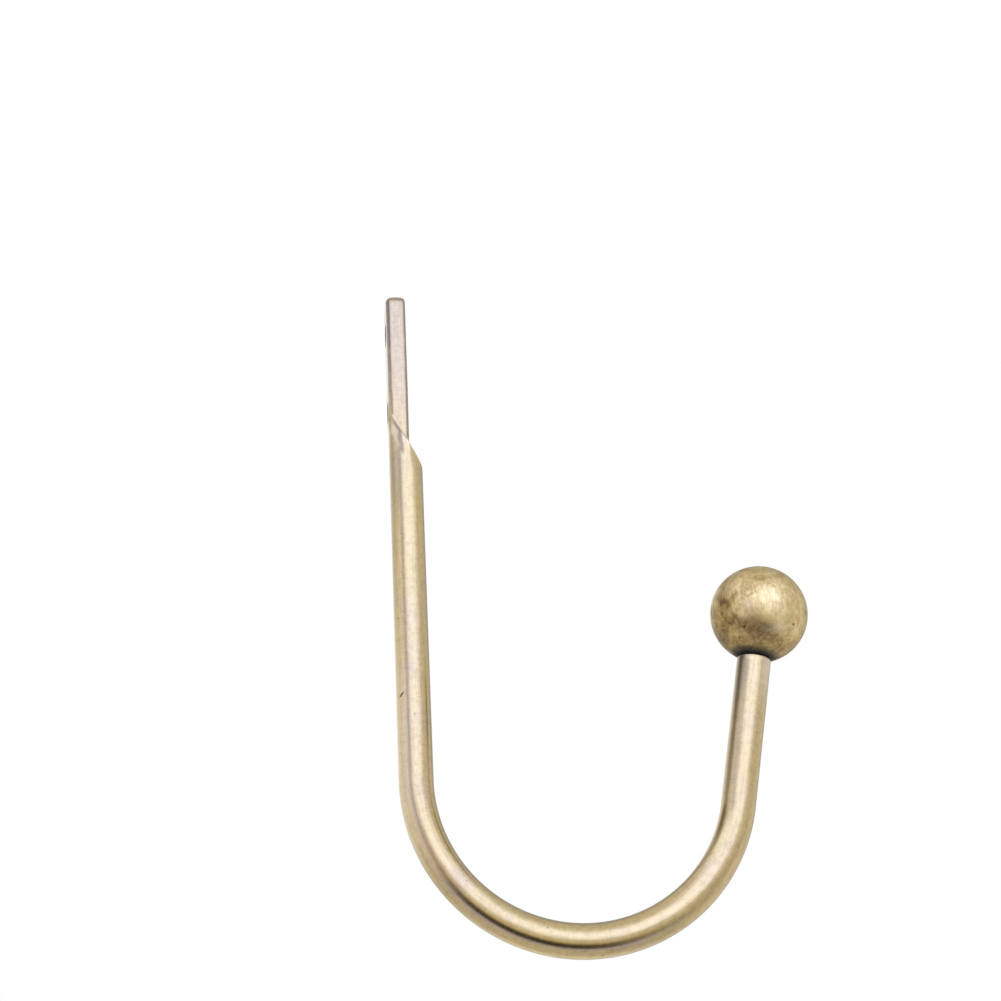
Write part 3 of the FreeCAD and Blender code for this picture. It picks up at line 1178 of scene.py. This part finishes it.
        flare_z = f.wall_z - f.fall * bar[:, 0]
        sharp_z = self._ramp_z(sharp[:, 0])
        half_gap = np.full(len(wall), f.lip)
        half_gap[self.columns.room()] = 0.0
        rise = f.rise[0] + f.rise[1] * full[:, 0] / self.thickness
        start = level(bar, flare_z, start_drop)
        ridge = level(forged, self._ramp_z(forged[:, 0]) - half_gap, ridge_drop)
        share = even(self.steps.swell)[:, None]
        gentle = self._gentle()
        swell = (1 - gentle) * share ** f.hollow + gentle * (3 * share ** 2 - 2 * share ** 3)
        swelling = start + swell[..., None] * (ridge - start)
        swelling[..., 2] = start[:, 2] + share * (ridge - start)[:, 2]
        first = level(bar, flare_z - f.below, bar_drop)
        last = [
            level(sharp, sharp_z + half_gap, sharp_drop),
            level(grown, sharp_z + f.grown * rise, grown_drop),
            level(full, sharp_z + rise, full_drop),
        ]
        return np.concatenate([first[None], swelling, np.stack(last)])

    def _flare_marks(self, rows: Array) -> Array:
        """Return the flare's marks: worn edges above, painted light on the lip and in the hollow, and grime
        with painted shade under them.

        Each is a product of what depends on the row and what depends on the column.
        """
        w = self.flare_wear_and_shading
        number = np.arange(len(rows), dtype=float)
        past_ridge = number - self.steps.ridge
        below_ridge = past_ridge < 0
        gentle, clear = self._gentle(), self._flank_share()
        lip = np.multiply.outer(hump(past_ridge, *w.lip), 1 - w.lip_loss * gentle)
        paling = (w.hollow_least + (1 - w.hollow_least) * climb(number, *w.hollow)) * below_ridge
        hollow = w.hollow_depth * np.multiply.outer(paling, 1 - gentle)
        under_lip = np.multiply.outer(hump(past_ridge, *w.under_lip), 1 - gentle)
        valley = climb(number, *w.valley) * below_ridge
        fold = np.multiply.outer(valley, hump(gentle, *w.fold) * (gentle > 0.0))
        worn = climb(past_ridge, *w.edges)[:, None] * self._rimness(rows)
        # Painted light on the lip and in the hollow; grime with painted shade under the lip and in the fold.
        bright = np.maximum(lip, hollow) * clear
        darkening = w.grime * np.maximum(under_lip, fold) * clear
        return np.stack([worn, bright, darkening], axis=-1)

    def _add_straight(self, surface: Surface, top: Array) -> None:
        """Add the straight from the flare's first row down to the bend, with a little painted light under the
        flare.
        """
        w = self.flare_wear_and_shading
        height = top[:, 2] + (self.bend_z - top[:, 2]) * even(self.steps.straight)[:, None]
        points = np.stack(np.broadcast_arrays(top[:, 0], top[:, 1], height), axis=-1)
        marks = np.zeros_like(points)
        paler = self._flank_share() * (1 - self._gentle())
        # Painted light on the leg just under the flare.
        marks[..., 1] = w.leg_depth * paler * climb(top[:, 2] - height, w.leg, -w.leg)
        surface.add(points, self._stock(points), marks, closed=True)

    def _add_bend(self, surface: Surface) -> None:
        """Add the bend, the arm, its rounded end, the seat ring and the spigot.

        A point of the bar is the centre line plus the radius times the cosine of its turn towards the inside
        of the bend, plus the radius times the sine of its turn along Y.
        """
        turn = self._turns()
        bend = np.radians(np.linspace(0.0, self.bend_turn, self.steps.bend + 1))
        arm = np.linspace(0.0, self.arm_length - self.arm_end.stop, self.steps.arm + 1)[1:]
        past, end_radius = self.arm_end.profile(self.rod_radius)
        along = np.concatenate([np.zeros(len(bend)), arm, self.arm_length + past])
        angle = np.concatenate([bend, np.full(len(along) - len(bend), bend[-1])])
        plain = len(bend) + len(arm)
        radius = np.concatenate([np.full(plain, self.rod_radius), end_radius])
        inward = np.stack([np.cos(angle), 0 * angle, np.sin(angle)], axis=-1)
        onward = np.stack([np.sin(angle), 0 * angle, -np.cos(angle)], axis=-1)
        centre = np.array([self.axis_x + self.bend_radius, 0.0, self.bend_z]) - self.bend_radius * inward
        centre = centre + along[:, None] * onward
        across = np.multiply.outer(radius, np.cos(turn))
        sideways = np.multiply.outer(radius, np.sin(turn))
        points = centre[:, None] + across[..., None] * inward[:, None]
        points[..., 1] += sideways
        length = self.top_z - self.bend_z + self.bend_radius * angle + along
        stock = np.stack(np.broadcast_arrays(across, sideways, length[:, None]), axis=-1)
        marks = np.zeros_like(points)
        inside = plain + len(self.arm_end.lip_highlight)
        # Painted highlight on the rounded rim of the arm's end.
        marks[plain:inside, :, 1] = np.array(self.arm_end.lip_highlight)[:, None]
        # The seat ring and spigot, in the gap under the ball, are painted fully dark: grime and painted shade.
        marks[inside:, :, 2] = 1.0
        surface.add(points, stock, marks, closed=True)

    def _tongue_row(self, z: float) -> Array:
        """Return the tongue's outline at a height."""
        outline = self._tongue_outline(self.edge)
        return np.concatenate([outline, np.full((len(outline), 1), z)], axis=1)

    def _add_tongue(self, surface: Surface, foot: Array) -> None:
        """Add the tongue from its foot up: two zones with a hole, plain zones above each, and the end."""
        low, high = self.hole_z - self.hole_frame, self.hole_z + self.hole_frame
        levels = (-low, low, high, self.top_z - self.end_corner)
        above_lower, below_upper, above_upper, start = (self._tongue_row(z) for z in levels)
        self._add_hole_zone(surface, foot, above_lower, -self.hole_z)
        self._add_plain_zone(surface, above_lower, below_upper, self.steps.between_holes)
        self._add_hole_zone(surface, below_upper, above_upper, self.hole_z)
        self._add_plain_zone(surface, above_upper, start, self.steps.above_holes)
        self._add_end(surface)

    def _tongue_marks(self, points: Array) -> Array:
        """Return the marks of tongue rows: worn edges, painted light on the wall face, and grime beside it."""
        darkening = self.tongue_wear_and_shading.line_grime * self._wall_line(points)
        return np.stack([self._rimness(points), self._wall_light(points), darkening], axis=-1)

    def _add_plain_zone(self, surface: Surface, low: Array, high: Array, steps: int) -> None:
        """Add straight rows between two outlines: low plus the share times high less low."""
        rows = low + np.multiply.outer(even(steps), high - low)
        surface.add(rows, self._stock(rows), self._tongue_marks(rows), closed=True)

    def _add_hole_zone(self, surface: Surface, low: Array, high: Array, hole_z: float) -> None:
        """Add the rows round a screw hole: both flanks, a ring on each face, and the bore between the rings.

        The bore is a circle at each depth. Its radius and depth go a quarter of a turn round each edge.

        Args:
            surface: where the rows go.
            low: outline at the zone's lower end.
            high: outline at its upper end.
            hole_z: height of the hole's centre.
        """
        c, w = self.columns, self.tongue_wear_and_shading
        rows = low + np.multiply.outer(even(self.steps.hole), high - low)
        marks = self._tongue_marks(rows)
        for flank in c.flanks():
            strip = rows[:, flank]
            surface.add(strip, self._stock(strip), marks[:, flank])
        self._add_ring(surface, rows[:, c.room()], self.thickness, hole_z)
        self._add_ring(surface, rows[:, c.wall()], 0.0, hole_z)
        angle = self._frame_angles(wall=False)
        e, r = self.hole_edge, self.hole_radius
        bend = np.radians(np.linspace(0.0, 90.0, self.steps.bore_edge + 1))
        out = np.concatenate([r + e - e * np.sin(bend), r + e - e * np.cos(bend)])
        depth = np.concatenate([self.thickness - e + e * np.cos(bend), e - e * np.sin(bend)])
        bore = np.stack(np.broadcast_arrays(
            depth[:, None],
            np.multiply.outer(out, np.cos(angle)),
            hole_z + np.multiply.outer(out, np.sin(angle)),
        ), axis=-1)
        darkening = np.zeros_like(bore)
        darkening[..., 0] = w.hole_rim
        # Painted shade in the hole's bore, past its first rows.
        darkening[w.clean_rows:, :, 2] = w.bore_shade
        surface.add(bore, self._stock(bore), darkening, closed=True)

    def _frame_angles(self, wall: bool) -> Array:
        """Return the angles of a ring's columns: a quarter turn for each side of its frame, from a corner.

        Args:
            wall: whether the ring is on the wall face, where the columns go round the other way.

        Returns:
            Angles in radians, from the Y direction upwards.
        """
        start, turn = (-45.0, -90.0) if wall else (-135.0, 90.0)
        counts = (self.columns.face, self.steps.hole) * 2
        corners = [start + k * turn for k in range(len(counts))]
        return np.radians(np.concatenate([run(a, a + turn, n) for a, n in zip(corners, counts)]))

    def _add_ring(self, surface: Surface, face: Array, depth: float, hole_z: float) -> None:
        """Add a face's grid between its square frame and the hole's circle, joined by straight lines.

        Args:
            surface: where the ring goes.
            face: rows of the face that it stands in, of which the outer ones are its frame.
            depth: the face's place across the tongue, 0 for the wall face.
            hole_z: height of the hole's centre.
        """
        w = self.tongue_wear_and_shading
        wall = depth == 0.0
        frame_line = np.concatenate([face[0, :-1], face[:-1, -1], face[-1, :0:-1], face[:0:-1, 0]])
        angle = self._frame_angles(wall)
        radius = self.hole_radius + self.hole_edge
        y, z = radius * np.cos(angle), hole_z + radius * np.sin(angle)
        circle = np.stack([np.full(len(angle), depth), y, z], axis=-1)
        rows = frame_line + np.multiply.outer(even(self.steps.ring), circle - frame_line)
        marks = np.zeros_like(rows)
        marks[-1, :, 0] = w.hole_rim
        if wall:
            away = np.hypot(rows[..., 1], rows[..., 2] - hole_z) - radius
            # Painted light on the wall face round the hole.
            marks[..., 1] = self._wall_light(rows)
            marks[..., 2] = climb(away, *w.hole_grime)
        surface.add(rows, self._stock(rows), marks, closed=True)

    def _add_end(self, surface: Surface) -> None:
        """Add the tongue's rounded end: rows that turn round its two corners, then the strip across its top.

        Each outline point keeps its place on the flat plate, drawn in by the edge radius, and is pushed out
        from there by the edge radius along the corner's own direction, so the rim stays round all the way.
        The top is domed: it drops by the dome times the square of the share from the middle to a face.
        """
        c, e, w = self.columns, self.edge, self.tongue_wear_and_shading
        outline = self._tongue_outline(e)
        inner_half = self.half_width - e
        core_y = np.clip(outline[:, 1], -inner_half, inner_half)
        push = outline[:, 1] - core_y
        corner = self.end_corner - e
        psi = np.radians(np.linspace(0.0, 90.0, self.steps.end + 1))[:, None]
        reach = inner_half - corner + corner * np.cos(psi)
        y = core_y / inner_half * reach + push * np.cos(psi)
        z = self.top_z - self.end_corner + corner * np.sin(psi) + np.abs(push) * np.sin(psi)
        z = z - self.end_dome * (2 * outline[:, 0] / self.thickness - 1) ** 2 * np.sin(psi) ** 2
        rows = np.stack(np.broadcast_arrays(outline[:, 0], y, z), axis=-1)
        marks = self._tongue_marks(rows)
        rims = w.end_rim * climb(psi, 0.0, w.end_turn) * (np.abs(push) > 0)
        marks[..., 0] = np.maximum(marks[..., 0], rims)
        surface.add(rows, self._stock(rows), marks, closed=True)
        near, far = c.flanks()
        strip = rows[-1, near] + np.multiply.outer(even(c.face), rows[-1, far[::-1]] - rows[-1, near])
        surface.add(strip, self._stock(strip), np.array([w.end_face, 0.0, 0.0]))


# The ball

@dataclass
class BallFinial(Piece):
    """The ball on the arm's end: a sphere turned round the arm's axis, with a seat ring and a blind hole."""

    name: str = "rubbed_ball_finial"
    node: str = "ball_finial"
    finish: Finish = RubbedBrass()
    radius: float = 11.536
    seat: Point = (84.7802, 0.0, -75.2556)
    bend_turn: float = 168.4
    seat_to_centre: float = 11.2055
    seat_radius: float = 2.8
    seat_rise: float = 0.015
    hole_radius: float = 2.55
    hole_depth: float = 9.0
    steps: int = 96
    around: int = 160

    def skin(self) -> Surface:
        """Return the ball's surface.

        The profile runs from the far pole down the sphere, where the distance from the axis is the radius
        times the sine of the angle from the pole, and then along the seat ring and up the hole. Each of its
        points is carried round the arm's axis.
        """
        last = math.pi - math.asin(self.seat_radius / self.radius)
        polar = np.linspace(0.0, last, self.steps + 1)
        sphere_up = self.seat_to_centre + self.radius * np.cos(polar)
        out = np.concatenate([self.radius * np.sin(polar), [self.hole_radius, self.hole_radius, 0.0]])
        up = np.concatenate([sphere_up, [self.seat_rise, self.hole_depth, self.hole_depth]])
        tilt = math.radians(self.bend_turn)
        axis = np.array([math.sin(tilt), 0.0, -math.cos(tilt)])
        inward = np.array([math.cos(tilt), 0.0, math.sin(tilt)])
        turn = 2 * np.pi * np.arange(self.around) / self.around
        points = np.asarray(self.seat) + np.multiply.outer(up, axis)[:, None]
        points = points + np.multiply.outer(np.multiply.outer(out, np.cos(turn)), inward)
        points[..., 1] += np.multiply.outer(out, np.sin(turn))
        surface = Surface()
        surface.add(points, points, np.zeros(3), closed=True)
        return surface


# The studio

class Measure(Enum):
    """Measures of a place in the studio, as it shows on a chrome ball in front of the camera."""

    ACROSS = "towards the camera's right"
    BELOW = "towards the camera's lower side"
    REACH = "distance from the ring's centre"
    AIM = "cosine of the angle from the ring's own direction"
    SLANT = "distance from the soft box's slanting side"
    EAVES = "height along the soft box's lower edge"
    CORNER = "height along the doorway's edge"
    RIM = "square of the distance from the ball's middle"


@dataclass(frozen=True)
class Panel:
    """An area of the studio.

    Attributes:
        spans: stretches of measures; the area is where all of them hold.
        dims: the share of the light that it takes away.
    """

    spans: tuple[tuple[Measure, Span], ...]
    dims: float = 0.0

    def on(self, measures: Mapping[Measure, Shade]) -> Shade:
        """Return the area's strength: the product of its spans."""
        return reduce(mul, [span.on(measures[measure]) for measure, span in self.spans])


def placed(axes: Sequence[Array], origin: Array) -> Matrix:
    """Return the matrix that puts an object's three axes along given directions, at a place in metres."""
    place = np.eye(4)
    place[:3, :3] = np.stack(axes, axis=1)
    place[:3, 3] = origin
    return Matrix(place.tolist())


@dataclass
class Studio:
    """Camera, plain pale floor and soft light.

    The camera's right, down and forward directions also place the light. It is white all round, with a big
    bluish soft box above the camera, and dimmer areas: a strip under the box, a nearly unlit ring below it
    with a warm inner and a grey outer edge, a shelf on the right, a doorway high on the left, a low band, and
    the outer side of the room.

    Attributes:
        slant: slope of the soft box's left side, the lowest place that counts, and the side's offset.
        eaves_tilt, corner_tilt: tilt of the soft box's lower edge, and of the doorway's.
        strip_cover: how much of the soft box the strip hides.
        doorway_lower, doorway_upper: the doorway's full part by corner, and its weaker part above by across.
        light_level: level of the white light, and what is added towards the right and towards the bottom.
        warm_loss: green and blue that the warm edge takes away.
        grey_gain, strip_gain: blue that the grey edge and the strip add.
    """

    camera_at: Point = (-18.0388, -422.4214, -207.8888)
    right: Point = (0.99518434, -0.08504046, -0.04874684)
    down: Point = (-0.01264875, 0.38173829, -0.9241839)
    forward: Point = (0.09720156, 0.92034993, 0.37882431)
    focal_pixels: float = 1900.0
    sensor: float = 36.0
    clip: Range = (10.0, 50000.0)
    floor_z: float = -260.0
    floor_half: float = 4000.0
    floor_lines: int = 9
    floor_colour: Colour = (0.86, 0.86, 0.85)
    floor_grain: Grain = Grain((3.0, 3.0, 3.0), 3.0, 0.55)
    floor_mottle: Span = Span((0.2, 0.8))
    floor_shade: float = 0.98
    floor_roughness: float = 0.9
    diffuse_level: float = 0.62
    box_light: Colour = (1.95, 2.16, 3.1)
    ring_centre: Pair = (0.085, -0.38)
    ring_towards: Pair = (-0.242, 0.970)
    slant: Triple = (2.2, -0.46, 0.36)
    eaves_tilt: float = 0.22
    corner_tilt: float = 0.5
    box: Panel = Panel((
        (Measure.SLANT, Span((-0.46, -0.16))),
        (Measure.ACROSS, Span(fall=(0.22, 0.62))),
        (Measure.BELOW, Span((-0.74, -0.44))),
        (Measure.EAVES, Span(fall=(-0.25, -0.12))),
    ))
    glow: Panel = Panel((
        (Measure.ACROSS, Span((-0.76, -0.62), (-0.5, -0.36), 0.2)),
        (Measure.BELOW, Span((-0.42, -0.33), (-0.2, -0.1))),
    ))
    strip: Panel = Panel((
        (Measure.REACH, Span((0.28, 0.38), (0.46, 0.54))),
        (Measure.BELOW, Span((-0.42, -0.33))),
        (Measure.ACROSS, Span(fall=(-0.25, -0.02))),
    ), 0.33)
    strip_cover: float = 0.8
    ring: Panel = Panel((
        (Measure.REACH, Span((0.36, 0.5), (0.64, 0.75))),
        (Measure.AIM, Span((0.79, 0.95))),
    ), 0.94)
    shelf: Panel = Panel((
        (Measure.REACH, Span((0.3, 0.45), (0.6, 0.75))),
        (Measure.ACROSS, Span((0.1, 0.3))),
        (Measure.BELOW, Span((-0.2, 0.0))),
    ), 0.26)
    doorway: Panel = Panel((
        (Measure.ACROSS, Span((-0.93, -0.82), (-0.7, -0.52))),
        (Measure.CORNER, Span(fall=(-0.7, -0.58))),
    ), 0.92)
    doorway_lower: Span = Span((-0.9, -0.72))
    doorway_upper: Span = Span((-0.84, -0.72), strength=0.4)
    low: Panel = Panel((
        (Measure.ACROSS, Span((-0.8, -0.56), (0.42, 0.66))),
        (Measure.BELOW, Span((0.05, 0.2), (0.6, 0.85))),
    ), 0.28)
    outer: Panel = Panel((
        (Measure.RIM, Span((0.72, 0.98))),
        (Measure.ACROSS, Span((-0.96, -0.6))),
    ), 0.45)
    warm: Panel = Panel((
        (Measure.REACH, Span((0.3, 0.4), (0.54, 0.62))),
        (Measure.AIM, Span((0.7, 0.9))),
    ))
    grey: Panel = Panel((
        (Measure.REACH, Span((0.62, 0.7), (0.76, 0.86))),
        (Measure.AIM, Span((0.7, 0.9))),
    ))
    light_level: Triple = (1.08, -0.11, 0.15)
    warm_loss: Pair = (0.13, 0.4)
    grey_gain: float = 0.5
    strip_gain: float = 0.5
    lamp_watts: float = 5.0
    lamp_size: Pair = (900.0, 600.0)
    lamp_towards: Point = (-0.057, -0.62, 0.78)
    lamp_distance: float = 1000.0
    lamp_aim: Point = (45.0, 0.0, -60.0)

    def build(self) -> None:
        """Make the camera, the floor, the world and the lamp."""
        bpy.context.scene.view_settings.view_transform = "Standard"
        self._camera()
        self._floor()
        self._world()
        self._lamp()

    def _camera(self) -> None:
        """Place the camera and make it the scene's own."""
        data = bpy.data.cameras.new("camera")
        data.sensor_width = self.sensor
        data.lens = self.focal_pixels * self.sensor / PICTURE_SIDE
        data.clip_start, data.clip_end = (length * METRES for length in self.clip)
        camera = bpy.data.objects.new("camera", data)
        axes = [np.asarray(self.right), np.negative(self.down), np.negative(self.forward)]
        camera.matrix_world = placed(axes, np.asarray(self.camera_at) * METRES)
        bpy.context.scene.collection.objects.link(camera)
        bpy.context.scene.camera = camera

    def _floor(self) -> None:
        """Make the floor, a flat grid well below the part, which reflections don't see."""
        side = np.linspace(-self.floor_half, self.floor_half, self.floor_lines)
        across, deep = np.meshgrid(side, side)
        points = np.stack([across, deep, np.full_like(across, self.floor_z)], axis=-1)
        patch = Patch(points, points, np.zeros_like(points))
        mesh = bpy.data.meshes.new("floor")
        mesh.from_pydata((points.reshape(-1, 3) * METRES).tolist(), [], patch.faces(0).tolist())
        floor = bpy.data.objects.new("floor", mesh)
        bpy.context.scene.collection.objects.link(floor)
        material = bpy.data.materials.new("pale_floor")
        material.use_nodes = True
        nodes = ShaderNodes(material.node_tree)
        grain = self.floor_grain.on(nodes.add("ShaderNodeTexCoord", output="Object"))
        shade = [self.floor_shade * c for c in self.floor_colour]
        colour = nodes.mix(self.floor_mottle.on(grain), self.floor_colour, shade)
        sockets = {"Base Color": colour, "Roughness": self.floor_roughness}
        paint = nodes.add("ShaderNodeBsdfPrincipled", {}, sockets)
        nodes.add("ShaderNodeOutputMaterial", {}, {"Surface": paint})
        mesh.materials.append(material)
        floor.visible_glossy = False

    def _measures(self, nodes: ShaderNodes) -> dict[Measure, Shade]:
        """Return the measures of a direction.

        A direction's place on a chrome ball seen by the camera is the direction plus the way back to the
        camera, made one long: its parts along the camera's right and down are across and below.
        """
        direction = nodes.add("ShaderNodeTexCoord", output="Generated")
        half = nodes.vector(VectorMaths.ADD, direction, np.negative(self.forward).tolist())
        half = nodes.vector(VectorMaths.NORMALIZE, half)
        across, below = nodes.dot(half, self.right), nodes.dot(half, self.down)
        right, down = across - self.ring_centre[0], below - self.ring_centre[1]
        reach = nodes.maths(Maths.POWER, right * right + down * down, 0.5)
        slope, lowest, offset = self.slant
        return {
            Measure.ACROSS: across,
            Measure.BELOW: below,
            Measure.REACH: reach,
            Measure.AIM: nodes.maths(Maths.DIVIDE, weighted(self.ring_towards, (right, down)), reach),
            Measure.SLANT: across - slope * (nodes.larger(below, lowest) + offset),
            Measure.EAVES: below + self.eaves_tilt * across,
            Measure.CORNER: below + self.corner_tilt * across,
            Measure.RIM: across * across + below * below,
        }

    def _studio_light(self, nodes: ShaderNodes) -> Shade:
        """Return the colour of the studio that reflections see: dimmed white, and the soft box over it."""
        measures = self._measures(nodes)
        across, below = measures[Measure.ACROSS], measures[Measure.BELOW]
        strip, warm, grey = (panel.on(measures) for panel in (self.strip, self.warm, self.grey))
        lower = self.doorway_lower.on(measures[Measure.CORNER])
        doorway = self.doorway.on(measures) * (lower + (1 - lower) * self.doorway_upper.on(across))
        plain, rightward, downward = self.light_level
        level = plain + rightward * across + downward * below
        level = level * (1 - self.strip.dims * strip) * (1 - self.doorway.dims * doorway)
        for panel in (self.ring, self.shelf, self.low, self.outer):
            level = level * (1 - panel.dims * panel.on(measures))
        green_loss, blue_loss = self.warm_loss
        green = level * (1 - green_loss * warm)
        blue = level * (1 + self.strip_gain * strip) * (1 - blue_loss * warm) * (1 + self.grey_gain * grey)
        white = nodes.add("ShaderNodeCombineColor", {}, {0: level, 1: green, 2: blue})
        box = nodes.larger(self.box.on(measures) * (1 - self.strip_cover * strip), self.glow.on(measures))
        return nodes.mix(box, white, self.box_light)

    def _world(self) -> None:
        """Make the world: white to the camera, a soft studio to reflections and an even level to the rest."""
        world = bpy.data.worlds.new("studio")
        bpy.context.scene.world = world
        world.use_nodes = True
        nodes = ShaderNodes(world.node_tree)
        rays = nodes.add("ShaderNodeLightPath", output="Is Camera Ray")
        mirrored = nodes.larger(rays.output("Is Glossy Ray"), rays.output("Is Transmission Ray"))
        light = nodes.mix(mirrored, (self.diffuse_level,) * 3, self._studio_light(nodes))
        light = nodes.mix(rays, light, (1.0, 1.0, 1.0))
        sky = nodes.add("ShaderNodeBackground", {}, {"Color": light, "Strength": 1.0})
        nodes.add("ShaderNodeOutputWorld", {}, {"Surface": sky})

    def _lamp(self) -> None:
        """Make the soft lamp that gives the floor the part's shadow; reflections see the world's soft box."""
        data = bpy.data.lights.new("soft_box", "AREA")
        data.shape = "RECTANGLE"
        data.size, data.size_y = (length * METRES for length in self.lamp_size)
        data.energy = self.lamp_watts
        lamp = bpy.data.objects.new("soft_box", data)
        back = np.asarray(self.lamp_towards) / np.linalg.norm(self.lamp_towards)
        side = np.array([1.0, 0.0, 0.0]) - back * back[0]
        side = side / np.linalg.norm(side)
        origin = (np.asarray(self.lamp_aim) + back * self.lamp_distance) * METRES
        lamp.matrix_world = placed([side, np.cross(back, side), back], origin)
        lamp.visible_glossy = False
        lamp.visible_camera = False
        bpy.context.scene.collection.objects.link(lamp)


def main() -> None:
    """Build the pieces and the studio in order, and report each piece."""
    logging.basicConfig(level=logging.INFO, format="%(name)s: %(message)s")
    for maker in (HookRod(), BallFinial()):
        piece = maker.build()
        LOG.info("%s: %d vertices, %d faces", piece.name, len(piece.data.vertices), len(piece.data.polygons))
    Studio().build()


if __name__ == "__main__":
    main()
